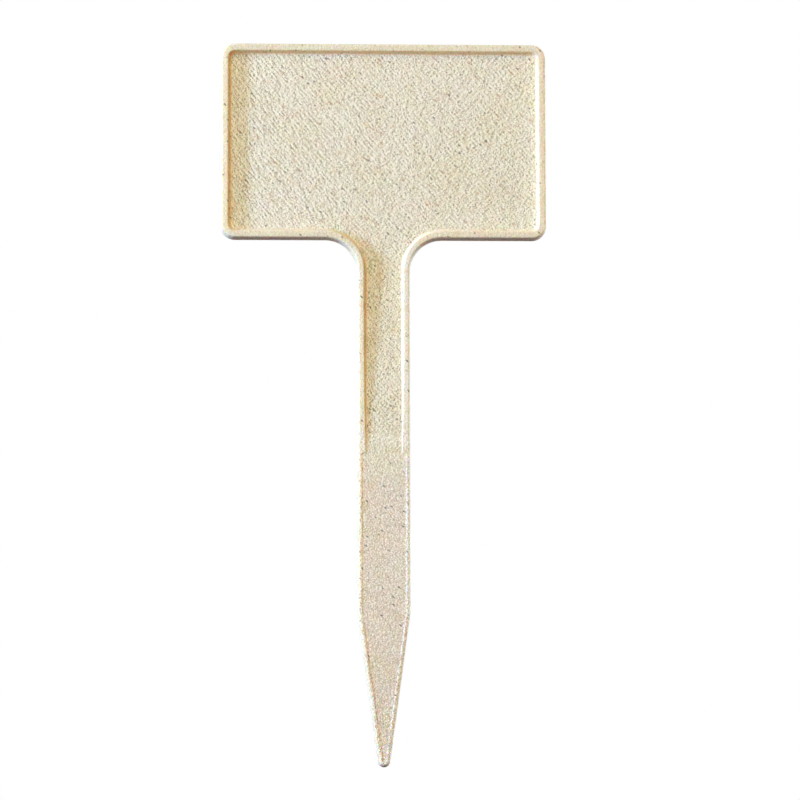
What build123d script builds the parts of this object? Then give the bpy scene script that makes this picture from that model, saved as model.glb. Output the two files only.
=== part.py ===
from build123d import *
from math import asin, atan2, hypot, radians, sin, tan
import os

# Plant label stake, moulded in one piece: a framed writing panel on a stem that runs out into a
# pointed blade. Millimetres and degrees. +Z runs up the stake, the written side faces -Y, and the
# origin is on the stake's axis at soil level, midway through the thickness.

# Outline of the back, the widest section
panel_width = 60.0
panel_height = 36.4
neck_length = 39.5  # soil level up to the panel's lower edge
blade_length = 57.0  # soil level down to the tip
point_length = 27.9  # the stretch of the blade that narrows
stem_width = 9.8
corner_radius = 2.75
shoulder_radius = 5.85  # where the panel's lower edge turns down into the stem
tip_radius = 1.15

# Section: the walls lean in towards the written side, so that the stake leaves its mould
thickness = 2.5
outer_draft = 6.0
front_edge_radius = 0.3

# Raised frame round the panel, and the two rails that carry it on down the stem
rim_width = 1.2
rail_width = 1.0
rim_edge_radius = 0.2  # along the frame's inner edge
rail_end_overhang = 0.05  # of a rail's round end past each side of the rail

# Recess that the frame encloses
recess_depth = 1.1
recess_draft = 20.0
recess_corner_radius = 1.3
recess_foot_radius = 0.35

# Channel in the stem, whose floor rises towards the soil until little is left of the rails
ramp_gap = 0.4  # from the end of the shoulders down to the top of the rise
rail_step = 0.15

# Blade face: a shallow field between two low lips
lip_width = 0.55
lip_height = 0.08
lip_draft = 55.0
tongue_length = 2.0  # how far the blade's block runs up inside the framed block

# How far a cutting shape reaches past the face that it cuts
overrun = 1.5

# Turn about X from lying on the back to standing
upright = 90.0


def lean(height, draft):
    # Sideways run of a wall of this height at this draft
    return height * tan(radians(draft))


# Levels, with the stake lying on its back: height above the plane midway through the thickness
back_level = -thickness / 2
front_level = thickness / 2
blade_level = front_level - rail_step + lip_height

# Insets of the front outline from the back outline
front_inset = lean(thickness, outer_draft)
blade_inset = lean(blade_level - back_level, outer_draft)

# The point: two straight sides tangent to the round tip, which would meet at the apex
tip_run = point_length - tip_radius
point_angle = atan2(stem_width / 2, tip_run) - asin(tip_radius / hypot(stem_width / 2, tip_run))
apex = tip_radius - blade_length - tip_radius / sin(point_angle)

# The channel: height over which its floor rises, and half the floor's width, the same all the way
ramp_length = neck_length - shoulder_radius - ramp_gap
rail_foot_width = rail_width + lean(recess_depth, recess_draft)
floor_half_width = stem_width / 2 - front_inset - rail_foot_width

# The round that ends each rail spans the rail's foot
rail_end_radius = rail_foot_width / 2 + rail_end_overhang


def framed_outline(rim_inset, rail_inset, corner, foot):
    # Panel and stem, drawn in from the back outline, with the stem cut off square at the foot
    side = panel_width / 2 - rim_inset
    lower = neck_length + rim_inset
    upper = neck_length + panel_height - rim_inset
    stem = stem_width / 2 - rail_inset
    shoulder = shoulder_radius + (rim_inset + rail_inset) / 2
    points = [
        (stem, foot),
        (stem, lower),
        (side, lower),
        (side, upper),
        (-side, upper),
        (-side, lower),
        (-stem, lower),
        (-stem, foot),
    ]
    radii = [0, shoulder, corner, corner, corner, corner, shoulder, 0]
    return make_face(FilletPolyline(*points, radius=radii, close=True).edges())


def blade_outline(inset, top):
    # Stem and point, drawn in from the back outline by the same distance all round
    half = stem_width / 2 - inset
    sharp_tip = apex + inset / sin(point_angle)
    point_top = sharp_tip + half / tan(point_angle)
    points = [(half, top), (-half, top), (-half, point_top), (0, sharp_tip), (half, point_top)]
    radii = [0, 0, 0, tip_radius - inset, 0]
    return make_face(FilletPolyline(*points, radius=radii, close=True).edges())


def drafted_block(outline, top_level):
    # Stands on the back plane, leans in towards the front and has a rounded front edge
    block = extrude(Pos(Z=back_level) * outline, top_level - back_level, taper=outer_draft)
    front_face = block.faces().sort_by(Axis.Z)[-1]
    return fillet(front_face.edges(), front_edge_radius)


def drafted_cut(outline, mouth_level, depth, draft):
    # Narrows downwards from its mouth
    rising = extrude(Pos(Z=mouth_level) * outline, depth, taper=draft)
    return mirror(rising, about=Plane.XY.offset(mouth_level))


def panel_recess():
    # Recess of the panel and the top of the stem, down to where the channel's floor starts to rise
    spread = lean(overrun, recess_draft)
    mouth = framed_outline(
        front_inset + rim_width - spread,
        front_inset + rail_width - spread,
        recess_corner_radius + spread,
        0,
    )
    cut = drafted_cut(mouth, front_level + overrun, overrun + recess_depth, recess_draft)
    floor = cut.faces().sort_by(Axis.Z)[0]
    cut = fillet(floor.edges(), recess_foot_radius)
    return split(cut, bisect_by=Plane.XZ.offset(-ramp_length), keep=Keep.BOTTOM)


def channel_section(height, depth):
    # Section across the stem: a floor with round feet between walls at the recess's draft
    mouth_half_width = floor_half_width + lean(depth + overrun, recess_draft)
    points = [
        (-floor_half_width, front_level - depth),
        (floor_half_width, front_level - depth),
        (mouth_half_width, front_level + overrun),
        (-mouth_half_width, front_level + overrun),
    ]
    radii = [recess_foot_radius, recess_foot_radius, 0, 0]
    section = make_face(FilletPolyline(*points, radius=radii, close=True).edges())
    return Plane.XZ.offset(-height) * section


def stem_channel():
    # Carries the recess on down the stem and brings its floor up to the blade's field
    lowest = channel_section(0, rail_step)
    highest = channel_section(ramp_length, recess_depth)
    return loft([lowest, highest], ruled=True)


def rail_ends():
    # Front view of what the rails keep: all of the frame, ending in a round under each rail
    reach = panel_height + neck_length + overrun
    above = Rectangle(panel_width + overrun, reach, align=(Align.CENTER, Align.MIN))
    across = stem_width / 2 - front_inset - rail_end_radius + rail_end_overhang
    rounds = [Pos(X=side) * Circle(rail_end_radius) for side in (-across, across)]
    return Pos(Y=rail_end_radius) * (above + rounds)


def framed_part():
    # Panel and stem down to soil level, with the frame raised all round them
    block = drafted_block(framed_outline(0, 0, corner_radius, -overrun), front_level)
    block = block & extrude(rail_ends(), front_level + overrun, both=True)
    block = block - panel_recess() - stem_channel()
    middle = framed_outline(
        front_inset + rim_width / 2, front_inset + rail_width / 2, corner_radius, 0
    )
    frame_top = block.faces().sort_by(Axis.Z)[-1]
    inner_edges = [
        edge
        for edge in frame_top.edges()
        if edge.center().Y > rail_end_radius
        and middle.face().is_inside(Vector(edge.center().X, edge.center().Y))
    ]
    return fillet(inner_edges, rim_edge_radius)


def blade_part():
    # Blade from the tip up to its tongue, a little lower than the frame, with a sunk field
    block = drafted_block(blade_outline(0, tongue_length), blade_level)
    field = blade_outline(blade_inset + lip_width, tongue_length + overrun)
    return block - drafted_cut(field, blade_level, lip_height, lip_draft) - stem_channel()


def label_stake():
    # Both blocks joined, and stood up from lying on the back
    return Rot(X=upright) * (framed_part() + blade_part())


os.makedirs("parts", exist_ok=True)
export_step(label_stake(), "parts/label_stake.step")
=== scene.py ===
import math

import bpy
import numpy as np
from mathutils import Matrix, Vector


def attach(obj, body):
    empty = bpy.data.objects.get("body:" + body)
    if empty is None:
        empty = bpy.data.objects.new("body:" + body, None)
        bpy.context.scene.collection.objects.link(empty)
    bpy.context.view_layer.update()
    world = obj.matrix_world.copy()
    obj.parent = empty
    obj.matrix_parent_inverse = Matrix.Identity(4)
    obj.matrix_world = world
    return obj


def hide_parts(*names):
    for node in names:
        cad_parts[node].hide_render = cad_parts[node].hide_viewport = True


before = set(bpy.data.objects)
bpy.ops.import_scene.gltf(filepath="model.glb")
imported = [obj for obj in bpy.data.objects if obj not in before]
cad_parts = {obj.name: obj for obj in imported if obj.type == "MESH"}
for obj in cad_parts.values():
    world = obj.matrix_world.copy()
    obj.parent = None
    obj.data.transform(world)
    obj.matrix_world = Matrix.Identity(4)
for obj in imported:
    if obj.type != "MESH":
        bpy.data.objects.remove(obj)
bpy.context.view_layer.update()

# A plant label stake of fibre-filled plastic, stood upright and seen from the front.
# Shapes are worked out in millimetres with x to the right, z up and h towards the written side,
# and go into the meshes in metres as (x, -h, z).

mm = 0.001
scene = bpy.context.scene

# The camera, fitted to the outline in the photo

view = {
    "aim": (2.971, 0.0, 9.935),  # mm, the point at the middle of the picture
    "distance": 850.0,  # mm
    "yaw": 2.493,  # degrees towards the left of the stake
    "elevation": -6.269,  # degrees, below the aim
    "roll": -0.107,  # degrees
    "focalPixels": 4651.2,
    "pictureWidth": 800,
    "sensor": 36.0,  # mm
    "clip": (0.01, 100.0),  # m
}


def makeCamera():
    # the camera stands back from the aim along a line turned by yaw and elevation, and is rolled
    # about that line
    yaw, tilt, roll = (math.radians(view[name]) for name in ("yaw", "elevation", "roll"))
    level = math.cos(tilt)
    back = Vector((-math.sin(yaw) * level, -math.cos(yaw) * level, math.sin(tilt)))
    right = (-back).cross(Vector((0, 0, 1))).normalized()
    up = right.cross(-back)
    turnedRight = right * math.cos(roll) + up * math.sin(roll)
    turnedUp = up * math.cos(roll) - right * math.sin(roll)
    data = bpy.data.cameras.new("camera")
    data.sensor_width = view["sensor"]
    data.lens = view["focalPixels"] * view["sensor"] / view["pictureWidth"]
    data.clip_start, data.clip_end = view["clip"]
    camera = bpy.data.objects.new("camera", data)
    place = (Vector(view["aim"]) + back * view["distance"]) * mm
    axes = Matrix((turnedRight, turnedUp, back)).transposed()
    camera.matrix_world = Matrix.Translation(place) @ axes.to_4x4()
    scene.collection.objects.link(camera)
    scene.camera = camera


makeCamera()
print("camera placed")

# The stake: sizes in millimetres, drafts in degrees

stake = {
    "width": 60.0,
    "panelHeight": 36.4,
    "neck": 39.5,  # soil level up to the panel
    "blade": 57.0,  # soil level down to the tip
    "point": 27.9,  # the stretch of the blade that narrows
    "stemWidth": 9.8,
    "corner": 2.75,
    "shoulder": 5.85,
    "tip": 1.15,
    "thickness": 2.5,
    "outerDraft": 6.0,
    "backRound": 0.08,
    "frontRound": 0.3,
    "rim": 1.2,
    "rail": 1.0,
    "mouthRound": 0.2,
    "depth": 1.1,
    "innerDraft": 20.0,
    "shallowDraft": 30.0,  # more draft where the channel has no depth left
    "footRound": 0.35,
    "fullRoundDepth": 0.38,  # where the recess is shallower, its rounds shrink with its depth
    "rampTop": 33.25,  # height at which the channel's floor starts to rise
    "step": 0.15,  # from the rails down to the blade's field
    "lipInset": 0.55,
    "lipHeight": 0.08,
    "lipDraft": 55.0,
    "railEnd": 0.75,  # radius of a rail's round end
    "railEndOverhang": 0.05,  # of that round past the rail's foot
    "railEndBlur": 0.07,  # over which a rail's end drops to the blade
    "railEndSpan": (-0.1, 0.92),  # heights between which the outline's steps are closer
    # how many steps each stretch of the outline is cut into, from the tip up the right side
    "steps": {
        "tip": 10,
        "point": 90,
        "blade": 97,
        "railEnd": 17,
        "stem": 109,
        "shoulder": 44,
        "lower": 55,
        "corner": 16,
        "side": 103,
        "top": 93,
    },
    # where the rings lie that carry the section along the outline
    "rings": {
        "back": 0.6,  # inset on the flat back
        "wall": (-0.6, 0.0, 0.6),  # heights on the outer wall
        "eachRound": 5,  # how many rings each rounded edge has
        "rim": (0.6, 0.7),  # insets on the rim and on the blade's lip
        "lipMargin": 0.02,  # before and after the lip's slope
        "lip": (0.1, 0.5, 0.9),  # shares of the lip's slope
        "floor": (0.06, 0.25, 0.5),  # from the foot of the recess's wall inwards
        "closing": 0.92,  # share of the way to the middle of the point that the last ring may go
    },
    # rings, counted from the back, and heights for the marks that the material reads
    "marks": {
        "outerWall": slice(2, 10),
        "innerWall": slice(21, 30),
        "floor": slice(30, 34),
        "innerLit": 0.5,  # share of lit on the inner walls
        "start": {"tooled": 3.2, "paintedWallShade": 0.8, "lit": 0.8},  # above soil level
        "fade": 1.6,
    },
}
steps, ringsAt, marks = stake["steps"], stake["rings"], stake["marks"]
shoulderStart = sum(steps[name] for name in ("tip", "point", "blade", "railEnd", "stem"))
mirrored = slice(-2, 0, -1)  # stations of the left half, from the top's middle back to the tip


def lean(height, degrees):
    # sideways run of a wall: height times the tangent of its draft
    return height * math.tan(math.radians(degrees))


def wallInset(h):
    # inset of the outer wall: its run from the back up to h
    return lean(h + stake["thickness"] / 2, stake["outerDraft"])


def smoothStep(x):
    # 3x^2 - 2x^3 between 0 and 1
    x = np.clip(x, 0, 1)
    return x * x * (3 - 2 * x)


def channelDepth(z):
    # depth of the floor below the rim, which falls off evenly from the ramp's top to soil level
    return stake["step"] + (stake["depth"] - stake["step"]) * np.clip(z / stake["rampTop"], 0, 1)


def straight(start, end, count):
    # evenly spaced points from start to just before end, with the normal on their left
    t = np.arange(count)[:, None] / count
    points = np.array(start) * (1 - t) + np.array(end) * t
    run = np.subtract(end, start) / np.hypot(*np.subtract(end, start))
    return points, np.tile([-run[1], run[0]], (count, 1))


def arc(centre, radius, first, last, count, inwards):
    # points at evenly spaced angles on a circle, with normals towards its centre or away from it
    angle = np.radians(first + (last - first) * np.arange(count) / count)
    spoke = np.column_stack([np.cos(angle), np.sin(angle)])
    return np.array(centre) + radius * spoke, spoke * (-1 if inwards else 1)


def outlineStations():
    # The back outline's right half from the tip to the middle of the top edge, as points with
    # inward normals. The point's side is the tangent from the stem's edge to the tip's circle.
    half, side = stake["stemWidth"] / 2, stake["width"] / 2
    tip, corner, shoulder = stake["tip"], stake["corner"], stake["shoulder"]
    lower, upper = stake["neck"], stake["neck"] + stake["panelHeight"]
    endFoot, endTop = stake["railEndSpan"]
    tipCentre = tip - stake["blade"]
    pointTop = stake["point"] - stake["blade"]
    rise = pointTop - tipCentre
    slant = math.atan2(half, rise) - math.asin(tip / math.hypot(half, rise))
    tangent = (tip * math.cos(slant), tipCentre - tip * math.sin(slant))
    parts = [
        arc((0, tipCentre), tip, -90, -math.degrees(slant), steps["tip"], True),
        straight(tangent, (half, pointTop), steps["point"]),
        straight((half, pointTop), (half, endFoot), steps["blade"]),
        straight((half, endFoot), (half, endTop), steps["railEnd"]),
        straight((half, endTop), (half, lower - shoulder), steps["stem"]),
        arc((half + shoulder, lower - shoulder), shoulder, 180, 90, steps["shoulder"], False),
        straight((half + shoulder, lower), (side - corner, lower), steps["lower"]),
        arc((side - corner, lower + corner), corner, -90, 0, steps["corner"], True),
        straight((side, lower + corner), (side, upper - corner), steps["side"]),
        arc((side - corner, upper - corner), corner, 0, 90, steps["corner"], True),
        straight((side - corner, upper), (0, upper), steps["top"]),
        (np.array([[0.0, upper]]), np.array([[0.0, -1.0]])),
    ]
    points, normals = (np.vstack(column) for column in zip(*parts))
    mitre = steps["tip"] + steps["point"]  # its normal keeps the insets of both straight sides
    normals[mitre] = np.array([-1, math.tan(slant / 2)])
    return points, normals


def ringProfile(points, normals):
    # Insets and heights of the rings that run round the stake, one row for each ring. They go from
    # the back, up the drafted wall, round the front edge, across the rim and the lip's slope, round
    # the recess's mouth, down its wall and out of the cove onto the floor.
    x, z = points.T
    front = stake["thickness"] / 2
    bladeField = front - stake["step"]
    bladeTop = bladeField + stake["lipHeight"]
    backRound, frontRound = stake["backRound"], stake["frontRound"]
    rows = []  # inset and height on the framed part, then on the blade

    def ring(inset, height, bladeInset=None, bladeHeight=None):
        bladeInset = inset if bladeInset is None else bladeInset
        bladeHeight = height if bladeHeight is None else bladeHeight
        row = (inset, height, bladeInset, bladeHeight)
        rows.append([np.broadcast_to(values, len(z)) for values in row])

    ring(ringsAt["back"], -front)
    ring(backRound, -front)
    halfway = math.pi / 4
    ring(backRound * (1 - math.sin(halfway)), -front + backRound * (1 - math.cos(halfway)))
    for height in (-front + backRound, *ringsAt["wall"]):
        ring(wallInset(height), height)

    turn = 90 - stake["outerDraft"]
    for angle in np.radians(np.linspace(turn, 0, ringsAt["eachRound"])):
        place = []
        for level in (front, bladeTop):
            middle = wallInset(level) + frontRound * math.tan(math.radians(turn / 2))
            place += [middle - frontRound * math.sin(angle)]
            place += [level - frontRound * (1 - math.cos(angle))]
        ring(*place)

    lipMouth = wallInset(bladeTop) + stake["lipInset"]
    lipFoot = lipMouth + lean(stake["lipHeight"], stake["lipDraft"])
    lipEnd = lipFoot + ringsAt["lipMargin"]
    for inset in (*ringsAt["rim"], lipMouth - ringsAt["lipMargin"]):
        ring(inset, front, bladeHeight=bladeTop)
    for share in ringsAt["lip"]:
        inset = lipMouth + (lipFoot - lipMouth) * share
        ring(inset, front, bladeHeight=bladeTop - stake["lipHeight"] * share)
    ring(lipEnd, front, bladeHeight=bladeField)

    # the mouth's inset is the rail's on the stem, the rim's on the panel and blends on the shoulder
    toRim = np.zeros(len(z))
    onShoulder = slice(shoulderStart, shoulderStart + steps["shoulder"])
    toRim[onShoulder] = (1 + normals[onShoulder].sum(axis=1)) / 2
    toRim[onShoulder.stop:] = 1
    depth = channelDepth(z)
    draft = np.radians(stake["innerDraft"] + stake["shallowDraft"] * (1 - depth / stake["depth"]))
    foot = wallInset(front) + stake["rail"] + (stake["rim"] - stake["rail"]) * toRim
    foot = foot + lean(stake["depth"], stake["innerDraft"])
    mouth = foot - depth * np.tan(draft)
    floor = front - depth
    shrink = np.clip(depth / stake["fullRoundDepth"], 0, 1)
    mouthRound, footRound = stake["mouthRound"] * shrink, stake["footRound"] * shrink
    turn = math.pi / 2 - draft
    mouthStart = mouth - mouthRound * np.tan(turn / 2)
    footEnd = foot + footRound * np.tan(turn / 2)

    def mouthAt(angle):
        return mouthStart + mouthRound * np.sin(angle), front - mouthRound * (1 - np.cos(angle))

    def footAt(angle):
        return footEnd - footRound * np.sin(angle), floor + footRound * (1 - np.cos(angle))

    shares = np.linspace(0, 1, ringsAt["eachRound"])
    places = [((lipEnd + mouthStart) / 2, front)]
    places += [mouthAt(share * turn) for share in shares]
    places += [np.add(mouthAt(turn), footAt(turn)) / 2]
    places += [footAt(share * turn) for share in shares[::-1]]
    places += [(footEnd + further, floor) for further in ringsAt["floor"]]
    for inset, height in places:
        ring(inset, height, bladeHeight=bladeField)

    framedInset, framedHeight, bladeInset, bladeHeight = (np.array(c) for c in zip(*rows))

    # towards the tip the rings on the blade's field close up, so that they stay short of the middle
    room = np.full(len(z), np.inf)
    room[: steps["tip"]] = stake["tip"]
    onPoint = slice(steps["tip"], steps["tip"] + steps["point"])
    room[onPoint] = x[onPoint] / -normals[onPoint, 0]
    closing = np.minimum(1, (ringsAt["closing"] * room - lipEnd) / (bladeInset[-1] - lipEnd))
    closed = lipEnd + (bladeInset - lipEnd) * closing
    bladeInset = np.where(bladeInset > lipEnd, closed, bladeInset)

    # above soil level the blade's block is cut by the channel too
    bladeHeight = np.where(z > 0, np.minimum(bladeHeight, framedHeight), bladeHeight)

    # share of the framed part: 1 above the rails' round ends and inside them, 0 on the blade
    radius = stake["railEnd"]
    across = stake["stemWidth"] / 2 - wallInset(front) - radius + stake["railEndOverhang"]
    away = np.hypot(x + framedInset * normals[:, 0] - across, z - radius)
    inside = np.where(z > radius, np.inf, radius - away)
    framed = smoothStep(0.5 + inside / stake["railEndBlur"])
    return (bladeInset + (framedInset - bladeInset) * framed,
            bladeHeight + (framedHeight - bladeHeight) * framed)


def gridFaces(index):
    # quads of a grid of vertex numbers whose rows go up and whose columns go to the right
    corners = index[:-1, :-1], index[:-1, 1:], index[1:, 1:], index[1:, :-1]
    return np.stack([corner.ravel() for corner in corners], axis=1).tolist()


def blendSides(u, v, low, high, west, east):
    # inner points of a four-sided patch: the blend of its two rows plus the blend of its two
    # columns, less the blend of its four corners
    corners = (1 - v) * ((1 - u) * low[0] + u * low[-1]) + v * ((1 - u) * high[0] + u * high[-1])
    patch = (1 - v) * low + v * high + (1 - u) * west[:, None] + u * east[:, None] - corners
    return patch[1:-1, 1:-1]


def markParts(mesh, index, normals, z):
    # Three shares that the material reads: tooled is 1 on the floor of the panel and the channel, a
    # share of painted shade on the walls that face right or down onto it, away from the lamps, and
    # lit on the walls that face left, which get a colour painted for that light. They fade out just
    # above soil level, but the outer wall is lit all the way.
    inwardX, inwardZ = np.vstack([normals, normals[mirrored] * (-1, 1)]).T
    facingLeft, facingUp = np.maximum(-inwardX, 0), np.maximum(inwardZ, 0)
    tooled, paintedWallShade, lit = np.zeros((3, len(z)))
    tooled[index[marks["floor"]]] = 1
    tooled[index.size:] = 1
    paintedWallShade[index[marks["innerWall"]]] = np.maximum(1 - np.hypot(facingUp, facingLeft), 0)
    lit[index[marks["innerWall"]]] = marks["innerLit"] * facingLeft
    shares = {"tooled": tooled, "paintedWallShade": paintedWallShade, "lit": lit}
    for name, share in shares.items():
        share *= smoothStep((z - marks["start"][name]) / marks["fade"])
    leftHalf = slice(len(normals), None)
    lit[index[marks["outerWall"], leftHalf]] = np.maximum(inwardX[leftHalf], 0)
    for name, share in shares.items():
        layer = mesh.attributes.new(name, "FLOAT", "POINT")
        layer.data.foreach_set("value", share.astype(np.float32))


def makeStake():
    # Rings carried along the whole outline, then the floor inside the last ring: straight rows
    # across the blade and the stem, and one grid on the panel whose inner points blend its sides.
    points, normals = outlineStations()
    inset, height = ringProfile(points, normals)
    ringX = points[:, 0] + inset * normals[:, 0]
    ringZ = points[:, 1] + inset * normals[:, 1]
    ringX[:, [0, -1]] = 0
    x = np.hstack([ringX, -ringX[:, mirrored]])
    z = np.hstack([ringZ, ringZ[:, mirrored]])
    h = np.hstack([height, height[:, mirrored]])
    index = np.arange(x.size).reshape(x.shape)
    faces = gridFaces(np.hstack([index, index[:, :1]]))
    faces.append(index[0, ::-1].tolist())  # the flat back

    inner = index[-1]
    right, left = inner[: len(points)], inner[-np.arange(len(points))]
    shoulderMiddle = shoulderStart + steps["shoulder"] // 2
    lowCorner = shoulderStart + steps["shoulder"] + steps["lower"] + steps["corner"] // 2
    highCorner = lowCorner + steps["corner"] + steps["side"]
    columns = 2 * ((len(points) - 1 - highCorner) - (lowCorner - shoulderMiddle))

    # rows across, from the first station after the tip up to the middle of the shoulders
    stations = np.arange(1, shoulderMiddle + 1)
    share = np.linspace(-1, 1, columns + 1)[1:-1]
    rowX = x[-1, stations, None] * share
    rowZ = np.repeat(z[-1, stations, None], columns - 1, axis=1)
    rowIndex = index.size + np.arange(rowX.size).reshape(rowX.shape)
    rowGrid = np.column_stack([left[stations], rowIndex, right[stations]])
    faces += gridFaces(rowGrid)
    fan = np.column_stack([np.full(columns, inner[0]), rowGrid[0, 1:], rowGrid[0, :-1]])
    faces += fan.tolist()

    # the panel's floor
    leftShoulder = left[lowCorner:shoulderMiddle - 1:-1]
    rightShoulder = right[shoulderMiddle:lowCorner + 1]
    bottom = np.concatenate([leftShoulder, rowIndex[-1], rightShoulder])
    top = inner[-highCorner:highCorner - 1:-1]
    west, east = left[lowCorner:highCorner + 1], right[lowCorner:highCorner + 1]
    x, z = np.append(x, rowX), np.append(z, rowZ)
    u = np.linspace(0, 1, len(bottom))
    v = ((z[east] - z[east[0]]) / (z[east[-1]] - z[east[0]]))[:, None]
    panelX, panelZ = (
        blendSides(u, v, values[bottom], values[top], values[west], values[east])
        for values in (x, z)
    )
    panelIndex = len(x) + np.arange(panelX.size).reshape(panelX.shape)
    middle = np.column_stack([west[1:-1], panelIndex, east[1:-1]])
    faces += gridFaces(np.vstack([bottom, middle, top]))

    x, z = np.append(x, panelX), np.append(z, panelZ)
    h = np.append(h, stake["thickness"] / 2 - channelDepth(z[index.size:]))
    mesh = bpy.data.meshes.new("labelStake")
    mesh.from_pydata(np.column_stack([x, -h, z]) * mm, [], faces)
    mesh.shade_smooth()
    markParts(mesh, index, normals, z)

    piece = bpy.data.objects.new("labelStake", mesh)
    scene.collection.objects.link(piece)
    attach(piece, "root")
    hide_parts("label_stake")
    return piece


labelStake = makeStake()
print("stake:", len(labelStake.data.vertices), "points,", len(labelStake.data.polygons), "faces")


class Wire:
    # One output of a shader node. Arithmetic on wires adds Math nodes.
    def __init__(self, tree, socket=None):
        self.tree, self.socket = tree, socket

    def node(self, kind, settings, inputs, output=0):
        # a new node, its settings first and then the values or links of its sockets
        made = self.tree.nodes.new(kind)
        for name, value in settings.items():
            setattr(made, name, value)
        for name, value in inputs.items():
            if isinstance(value, Wire):
                self.tree.links.new(value.socket, made.inputs[name])
            else:
                made.inputs[name].default_value = value
        return Wire(self.tree, made.outputs[output]) if len(made.outputs) else made

    def maths(self, operation, first, second=None):
        values = {0: first} if second is None else {0: first, 1: second}
        return self.node("ShaderNodeMath", {"operation": operation}, values)

    def __add__(self, other):
        return self.maths("ADD", self, other)

    def __sub__(self, other):
        return self.maths("SUBTRACT", self, other)

    def __rsub__(self, other):
        return self.maths("SUBTRACT", other, self)

    def __mul__(self, other):
        return self.maths("MULTIPLY", self, other)

    __radd__ = __add__
    __rmul__ = __mul__


def newTree(owner):
    owner.use_nodes = True
    owner.node_tree.nodes.clear()
    return Wire(owner.node_tree)


def linear(red, green, blue):
    # a colour as seen on screen, 0 to 255, in the linear numbers that shaders take
    return tuple(((c / 255 + 0.055) / 1.055) ** 2.4 for c in (red, green, blue))


# The plastic, with some painted light and shade. A noise is given as its scale per mm, detail and
# roughness, offOn as a strength off the tooled floor and on it, and leftRight as one at the left and
# the right of the panel.

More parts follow.
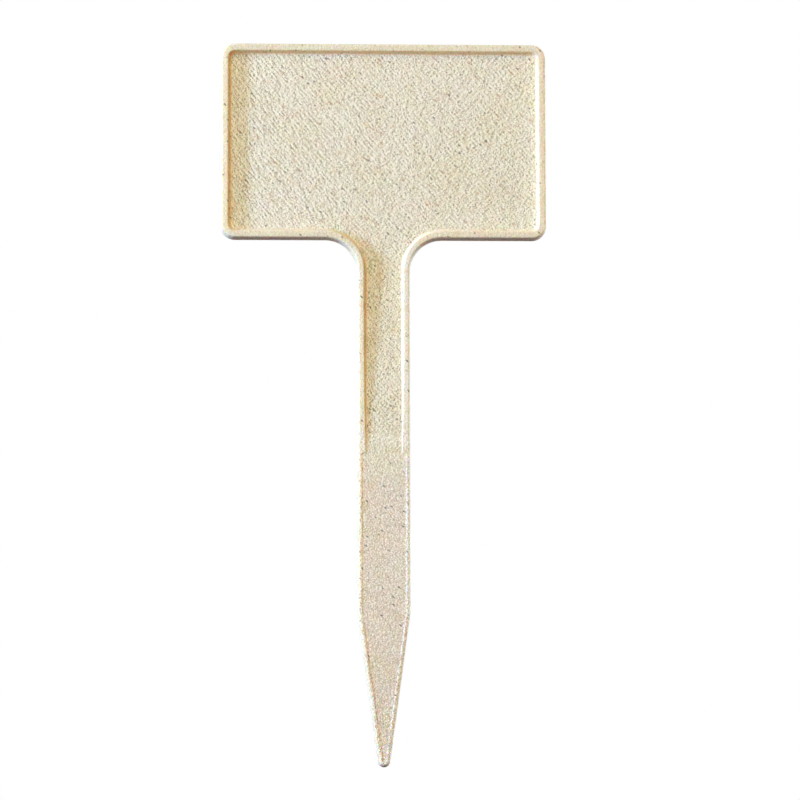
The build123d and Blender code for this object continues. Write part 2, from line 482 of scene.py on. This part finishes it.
fibreMix = {
    "floor": linear(238, 232, 213),
    "rim": linear(240, 228, 205),
    "rail": linear(253, 247, 234),
    # painted shade: an orange colour for the walls that face right or down, away from the lamps
    "wall": linear(251, 229, 188),
    # painted for the light: a warmer, duller colour for the walls that face the lamp on the left
    "paintedLitWall": linear(246, 224, 186),
    # painted light: a lighter colour for the panel's left rim, nearest the lamp on the left
    "paintedLightLeftRim": linear(255, 240, 212),
    # painted light on the stem's left edge, and a painted highlight on its right edge
    "paintedLightLeftEdge": linear(252, 243, 224),
    "paintedHighlightRightEdge": linear(246, 241, 232),
    "blade": linear(237, 225, 211),
    "straw": linear(220, 200, 150),
    "peach": linear(226, 194, 150),
    "olive": linear(204, 198, 144),
    "speck": linear(78, 60, 46),
    "fibre": linear(140, 106, 74),
    "rust": linear(178, 130, 84),
    "mottle": (0.7, 3, 0.5),
    "mottleSpan": (0.3, 0.7),  # from low mottle to high
    "roughness": (0.58, 0.72),  # on low and high mottle
    "gloss": 0.35,
    "ior": 1.47,
    "glow": 0.5,
    "glowReach": (1.8, 0.6, 0.22),  # mm for red, green and blue
    "channelStraw": 0.12,  # share of straw in the channel
    # soft patches: colour, noise, the span of the noise over which a patch comes in, and its share
    "patches": (
        ("straw", (0.11, 2, 0.5), (0.4, 0.75), 0.2),
        ("straw", (0.7, 3, 0.5), (0.5, 0.72), 0.25),
        ("olive", (0.38, 3, 0.6), (0.58, 0.72), 0.25),
        ("peach", (0.55, 3, 0.6), (0.57, 0.75), 0.4),
    ),
    # where the plastic or its painted light changes, in mm: where a change starts and where it is
    # complete
    "zones": {
        "stem": (39.5, 35.0),  # z, the shoulders
        "channel": (3.7, 3.2),  # x to either side, inwards from the rails
        "blade": (3.0, -8.0),  # z
        # painted light on the panel's left rim
        "paintedLightLeftRim": (-28.0, -28.8),  # x
        # painted light on the stem's left edge and a painted highlight on its right edge
        "paintedLightLeftEdge": (-3.5, -4.2),  # x
        "paintedHighlightRightEdge": (3.8, 4.5),  # x
        "panelFoot": (44.0, 34.0),  # z, down from the panel into the channel
        "leftRight": (-28.0, 25.0),  # x
        "roughBlade": (6.5, 3.0),  # z
        "roughFront": (0.6, 0.0),  # y
    },
    "relief": {
        "strokes": {"turn": -47, "squeeze": 0.28, "noise": (2.2, 2, 0.55),
                    "leftRight": (1.15, 0.65), "offOn": (0.2, 1.0)},
        "crossing": {"turn": 40, "squeeze": 0.45, "noise": (1.9, 1, 0.55),
                     "leftRight": (0.1, 0.6), "offOn": (0.25, 1.0)},
        "grain": {"noise": (2.8, 1, 0.6), "offOn": (0.65, 0.7)},
        "toolPitch": 0.678,  # mm between the marks that slant down to the right
        "toolHeight": 0.047,  # of a mark, as a share of depth
        "toolMottle": (1.2, 0.6),  # strength on low and high mottle
        "toolLeftRight": (1.0, 0.85),
        "toolBelowPanel": 0.7,
        "toolWobble": {"noise": (0.25, 1, 0.5), "reach": 3.0},  # radians
        "depth": 0.05,  # mm
        "smoothShare": 0.5,  # what is left of the relief on the frame, the stem and the back
        "slopeStep": (0.1, -0.02),  # mm in x and z to each side, over which the slope is taken
        # painted light and shade: the relief's slopes that face the lamp on the left are made
        # lighter in colour, those that face away darker
        "paintedSlopeShading": 1.3,  # how much lighter the side that faces left is
        "fineGrain": {"noise": (5.5, 1, 0.7), "offOn": (0.75, 1.0)},
        "coarseGrain": {"noise": (3.2, 2, 0.7), "offOn": (0.75, 0.0)},
        "grainShade": 1.9,  # how much the two grains lighten and darken the plastic
        "shadeCurve": (-0.4, 0.8),  # off and on the floor, how far strong tones are held back
        "darkest": 0.3,
        "redPower": 0.9,  # red fades least where it is dark, and blue most
        "bluePower": 1.25,
    },
    # bits of plant, in the order in which they lie over each other: squeeze makes them long, channel
    # says which of a cell's three random numbers picks it, and few is the share of cells left empty
    "bits": {
        "fibres": {"colour": "fibre", "turn": -46, "squeeze": 0.16, "perMm": 1.2, "channel": 0,
                   "few": 0.5, "size": 0.13, "share": 0.8},
        "shortFibres": {"colour": "fibre", "turn": -58, "squeeze": 0.3, "perMm": 1.5,
                        "channel": 1, "few": 0.3, "size": 0.15, "share": 0.6},
        "rust": {"colour": "rust", "turn": -38, "squeeze": 0.4, "perMm": 0.8, "channel": 1,
                 "few": 0.72, "size": 0.22, "share": 0.5},
        "specks": {"colour": "speck", "turn": -42, "squeeze": 0.45, "perMm": 1.0, "channel": 2,
                   "few": 0.45, "size": 0.18, "share": 0.85},
    },
    "bitSolid": 0.4,  # share of a bit's size that has its full colour
    "pickSpan": 0.04,  # over which a cell goes from empty to having its bit
    "ruffle": {"noise": (2.0, 2, 0.6), "reach": 0.3},  # mm by which outlines wander
    "speckDepth": 0.01,  # mm
    "fibreHeight": 0.008,  # mm
}


def fibreMaterial():
    # cream plastic full of ground plant fibre, with painted light and shade on its relief, walls,
    # rims and edges, worked out from place in millimetres on the piece
    zones, relief = fibreMix["zones"], fibreMix["relief"]
    material = bpy.data.materials.new("fibreComposite")
    w = newTree(material)

    def noise(where, perMm, detail, roughness, output=0):
        return w.node("ShaderNodeTexNoise", {"noise_dimensions": "3D"},
                      {"Vector": where, "Scale": perMm, "Detail": detail, "Roughness": roughness},
                      output)

    def cells(where, perMm, output):
        return w.node("ShaderNodeTexVoronoi", {}, {"Vector": where, "Scale": perMm}, output)

    def level(value, low, high, start=0.0, end=1.0):
        # start at low and before it, end at high and past it, and smooth between
        return w.node("ShaderNodeMapRange", {"interpolation_type": "SMOOTHSTEP"},
                      {"Value": value, "From Min": low, "From Max": high,
                       "To Min": start, "To Max": end})

    def mixColour(share, first, second):
        colours = {6: first if isinstance(first, Wire) else (*first, 1),
                   7: second if isinstance(second, Wire) else (*second, 1)}
        return w.node("ShaderNodeMix", {"data_type": "RGBA"}, {0: share, **colours}, 2)

    def vectors(operation, first, second, output=0):
        return w.node("ShaderNodeVectorMath", {"operation": operation}, {0: first, 1: second},
                      output)

    def scaled(where, factor):
        return w.node("ShaderNodeVectorMath", {"operation": "SCALE"}, {0: where, "Scale": factor})

    def turned(where, part):
        # place turned in the stake's plane and stretched along the turned x axis
        turn = w.node("ShaderNodeMapping", {},
                      {"Vector": where, "Rotation": (0, math.radians(part["turn"]), 0)})
        return vectors("MULTIPLY", turn, (part["squeeze"], 1, 1))

    def scattered(where, part):
        # bits in a share of the cells: 1 inside a bit, 0 outside
        bit, size, few = turned(where, part), part["size"], part["few"]
        colour = cells(bit, part["perMm"], "Color")
        pick = w.node("ShaderNodeSeparateColor", {}, {0: colour}, part["channel"])
        inside = level(cells(bit, part["perMm"], "Distance"), size, size * fibreMix["bitSolid"])
        return inside * level(pick, few, few + fibreMix["pickSpan"])

    def offOn(off, on):
        return tooled * (on - off) + off

    metres = w.node("ShaderNodeTexCoord", {}, {}, "Object")
    place = scaled(metres, 1 / mm)
    across, deep, up = (w.node("ShaderNodeSeparateXYZ", {}, {0: place}, axis) for axis in "XYZ")
    tooled, paintedWallShade, lit = (w.node("ShaderNodeAttribute", {"attribute_name": name}, {}, "Fac")
                           for name in ("tooled", "paintedWallShade", "lit"))
    mottle = noise(place, *fibreMix["mottle"])

    # how strong each part of the relief is from place to place
    bladeFront = level(up, *zones["roughBlade"]) * level(deep, *zones["roughFront"])
    smooth = relief["smoothShare"]
    rough = w.maths("MAXIMUM", tooled, bladeFront) * (1 - smooth) + smooth
    strength = {"grain": offOn(*relief["grain"]["offOn"])}
    for name in ("strokes", "crossing"):
        leftToRight = level(across, *zones["leftRight"], *relief[name]["leftRight"])
        strength[name] = leftToRight * offOn(*relief[name]["offOn"])
    toolHere = tooled * level(mottle, *fibreMix["mottleSpan"], *relief["toolMottle"])
    toolHere = toolHere * level(across, *zones["leftRight"], *relief["toolLeftRight"])
    toolHere = toolHere * level(up, *zones["panelFoot"], 1.0, relief["toolBelowPanel"])
    toolHere = toolHere * relief["toolHeight"]
    wobble = noise(place, *relief["toolWobble"]["noise"]) * relief["toolWobble"]["reach"]

    def reliefAt(where):
        # height as a share of depth: strokes down to the right, strokes across them, grain and a
        # sine for the tool marks
        strokes, crossing = (
            noise(turned(where, relief[name]), *relief[name]["noise"]) * strength[name]
            for name in ("strokes", "crossing")
        )
        grain = noise(where, *relief["grain"]["noise"]) * strength["grain"]
        slant = vectors("DOT_PRODUCT", where, (1, 0, 1), "Value")
        phase = slant * (2 * math.pi / (relief["toolPitch"] * math.sqrt(2))) + wobble
        return (strokes + crossing + grain + w.maths("SINE", phase) * toolHere) * rough

    height = reliefAt(place)
    stepX, stepZ = relief["slopeStep"]
    slope = (reliefAt(vectors("ADD", place, (stepX, 0, stepZ)))
             - reliefAt(vectors("ADD", place, (-stepX, 0, -stepZ))))

    # the colours of the parts, one over the other, some of them painted light and shade, then the
    # soft patches
    onStem = level(up, *zones["stem"])
    betweenRails = level(w.maths("ABSOLUTE", across), *zones["channel"]) * onStem
    layers = (
        (betweenRails, "floor"),
        (level(up, *zones["blade"]), "blade"),
        # painted light on the panel's left rim
        (level(across, *zones["paintedLightLeftRim"]), "paintedLightLeftRim"),
        # painted light on the stem's left edge and a painted highlight on its right edge
        (level(across, *zones["paintedLightLeftEdge"]) * onStem, "paintedLightLeftEdge"),
        (level(across, *zones["paintedHighlightRightEdge"]) * onStem, "paintedHighlightRightEdge"),
        # painted shade on the walls that face away from the lamps
        (paintedWallShade, "wall"),
        # a colour painted for the light on the walls that face the lamp on the left
        (lit, "paintedLitWall"),
        (tooled, "floor"),
        (level(up, *zones["panelFoot"], 0.0, fibreMix["channelStraw"]), "straw"),
    )
    colour = mixColour(onStem, fibreMix["rim"], fibreMix["rail"])
    for share, name in layers:
        colour = mixColour(share, colour, fibreMix[name])
    for name, pattern, span, full in fibreMix["patches"]:
        share = level(noise(place, *pattern), *span, 0.0, full)
        colour = mixColour(share, colour, fibreMix[name])

    # painted light on the relief's slopes that face the lamp on the left and painted shade on those
    # that face away, and lighter and darker with the grain
    fine, coarse = (
        (noise(place, *relief[name]["noise"]) - 0.5) * (offOn(*relief[name]["offOn"]) * rough)
        for name in ("fineGrain", "coarseGrain")
    )
    paintedShadingAndGrain = slope * relief["paintedSlopeShading"] + (fine + coarse) * relief["grainShade"]
    curved = (1.0 + paintedShadingAndGrain) - paintedShadingAndGrain * paintedShadingAndGrain * offOn(*relief["shadeCurve"])
    shade = w.maths("MAXIMUM", curved, relief["darkest"])
    red, blue = (w.maths("POWER", shade, relief[name]) for name in ("redPower", "bluePower"))
    tint = w.node("ShaderNodeCombineXYZ", {}, {"X": red, "Y": shade, "Z": blue})
    colour = vectors("MULTIPLY", colour, tint)

    # bits of plant in long cells that mostly slant down to the right
    ruffle = noise(place, *fibreMix["ruffle"]["noise"], "Color")
    ragged = vectors("ADD", place, scaled(ruffle, fibreMix["ruffle"]["reach"]))
    bits = {name: scattered(ragged, part) for name, part in fibreMix["bits"].items()}
    for name, part in fibreMix["bits"].items():
        colour = mixColour(bits[name] * part["share"], colour, fibreMix[part["colour"]])

    height = height * relief["depth"] - bits["specks"] * fibreMix["speckDepth"]
    height = height + bits["fibres"] * fibreMix["fibreHeight"]
    bump = w.node("ShaderNodeBump", {}, {"Height": height, "Strength": 1.0, "Distance": mm})

    surface = w.node("ShaderNodeBsdfPrincipled", {"subsurface_method": "RANDOM_WALK"}, {
        "Base Color": colour,
        "Roughness": level(mottle, *fibreMix["mottleSpan"], *fibreMix["roughness"]),
        "IOR": fibreMix["ior"],
        "Specular IOR Level": fibreMix["gloss"],
        "Subsurface Weight": fibreMix["glow"],
        "Subsurface Radius": fibreMix["glowReach"],
        "Subsurface Scale": mm,
        "Normal": bump,
    })
    w.node("ShaderNodeOutputMaterial", {}, {"Surface": surface})
    return material


labelStake.data.materials.append(fibreMaterial())
print("material made")

# The floor that the stake stands over, the lamps and the background

ground = {
    "height": -0.105,  # m
    "size": 12.0,  # m
    "colour": (0.88, 0.88, 0.87),
    "bounce": (0.165, 0.17, 0.185),  # its colour for the light that it throws back up
    "whiteFrom": 0.15,  # m from the middle, where the floor starts to fade to plain white
    "whiteAt": 0.6,  # m
}

# Cool light from the left and warm light from the front and above, which are white together on the
# front, and a warm lamp and two near-white ones from behind. Towards is where a lamp stands, seen
# from the aim, distance and size are in metres and power is in watts.
lamps = {
    "key": {"towards": (-0.943, -0.242, 0.141), "distance": 0.75, "size": 0.09, "power": 8.15,
            "colour": (0.38, 0.58, 1.0)},
    "frontLeft": {"towards": (-0.55, -0.78, 0.30), "distance": 1.4, "size": 0.9, "power": 8.5,
                  "colour": (0.55, 0.82, 1.0)},
    "front": {"towards": (0.0, -1.0, -0.03), "distance": 1.4, "size": 0.6, "power": 8.3,
              "colour": (1.0, 0.60, 0.10)},
    "top": {"towards": (-0.10, -0.66, 0.75), "distance": 1.4, "size": 0.6, "power": 7.2,
            "colour": (1.0, 0.85, 0.50)},
    "backLeft": {"towards": (-0.90, 0.35, 0.10), "distance": 1.4, "size": 0.7, "power": 6.0,
                 "colour": (1.0, 0.70, 0.40)},
    "backRight": {"towards": (0.93, 0.33, 0.15), "distance": 1.4, "size": 0.9, "power": 19.0,
                  "colour": (0.88, 0.96, 1.0)},
    "back": {"towards": (0.0, 1.0, 0.12), "distance": 1.4, "size": 0.9, "power": 11.0,
             "colour": (0.96, 0.97, 1.0)},
}
surround = {"colour": (1.0, 0.96, 0.9), "strength": 0.02}
white = (1, 1, 1, 1)


def makeFloor():
    # a square plane that is lit near the stake and fades to plain white further out
    half = ground["size"] / 2
    corners = [(-half, -half), (half, -half), (half, half), (-half, half)]
    mesh = bpy.data.meshes.new("floor")
    mesh.from_pydata([(x, y, ground["height"]) for x, y in corners], [], [(0, 1, 2, 3)])
    material = bpy.data.materials.new("floorPaper")
    w = newTree(material)
    place = w.node("ShaderNodeTexCoord", {}, {}, "Object")
    away = w.node("ShaderNodeVectorMath", {"operation": "LENGTH"}, {0: place}, "Value")
    fade = w.node("ShaderNodeMapRange", {"interpolation_type": "SMOOTHSTEP"},
                  {"Value": away, "From Min": ground["whiteFrom"], "From Max": ground["whiteAt"]})
    seen = w.node("ShaderNodeLightPath", {}, {}, "Is Camera Ray")
    shade = w.node("ShaderNodeMix", {"data_type": "RGBA"},
                   {0: seen, 6: (*ground["bounce"], 1), 7: (*ground["colour"], 1)}, 2)
    paper = w.node("ShaderNodeBsdfDiffuse", {}, {"Color": shade})
    plain = w.node("ShaderNodeEmission", {}, {"Color": white, "Strength": 1.0})
    mixed = w.node("ShaderNodeMixShader", {}, {0: fade * seen, 1: paper, 2: plain})
    w.node("ShaderNodeOutputMaterial", {}, {"Surface": mixed})
    mesh.materials.append(material)
    floor = bpy.data.objects.new("floor", mesh)
    scene.collection.objects.link(floor)


def makeLamps():
    # square area lamps that face the aim
    aim = Vector(view["aim"]) * mm
    for name, lamp in lamps.items():
        data = bpy.data.lights.new(name, "AREA")
        data.shape = "SQUARE"
        data.size, data.energy, data.color = lamp["size"], lamp["power"], lamp["colour"]
        towards = Vector(lamp["towards"]).normalized()
        made = bpy.data.objects.new(name, data)
        turn = towards.to_track_quat("Z", "Y").to_matrix().to_4x4()
        made.matrix_world = Matrix.Translation(aim + towards * lamp["distance"]) @ turn
        scene.collection.objects.link(made)


def makeSurround():
    # a dim warm glow as light, and plain white where it is seen directly, in gloss or through glass
    world = bpy.data.worlds.new("surround")
    scene.world = world
    w = newTree(world)
    paths = [w.node("ShaderNodeLightPath", {}, {}, name)
             for name in ("Is Camera Ray", "Is Glossy Ray", "Is Transmission Ray")]
    seen = w.maths("MINIMUM", paths[0] + paths[1] + paths[2], 1.0)
    glow = w.node("ShaderNodeBackground", {},
                  {"Color": (*surround["colour"], 1), "Strength": surround["strength"]})
    plain = w.node("ShaderNodeBackground", {}, {"Color": white, "Strength": 1.0})
    mixed = w.node("ShaderNodeMixShader", {}, {0: seen, 1: glow, 2: plain})
    w.node("ShaderNodeOutputWorld", {}, {"Surface": mixed})


makeFloor()
makeLamps()
makeSurround()
scene.view_settings.view_transform = "Standard"
print("floor, lamps and background made")
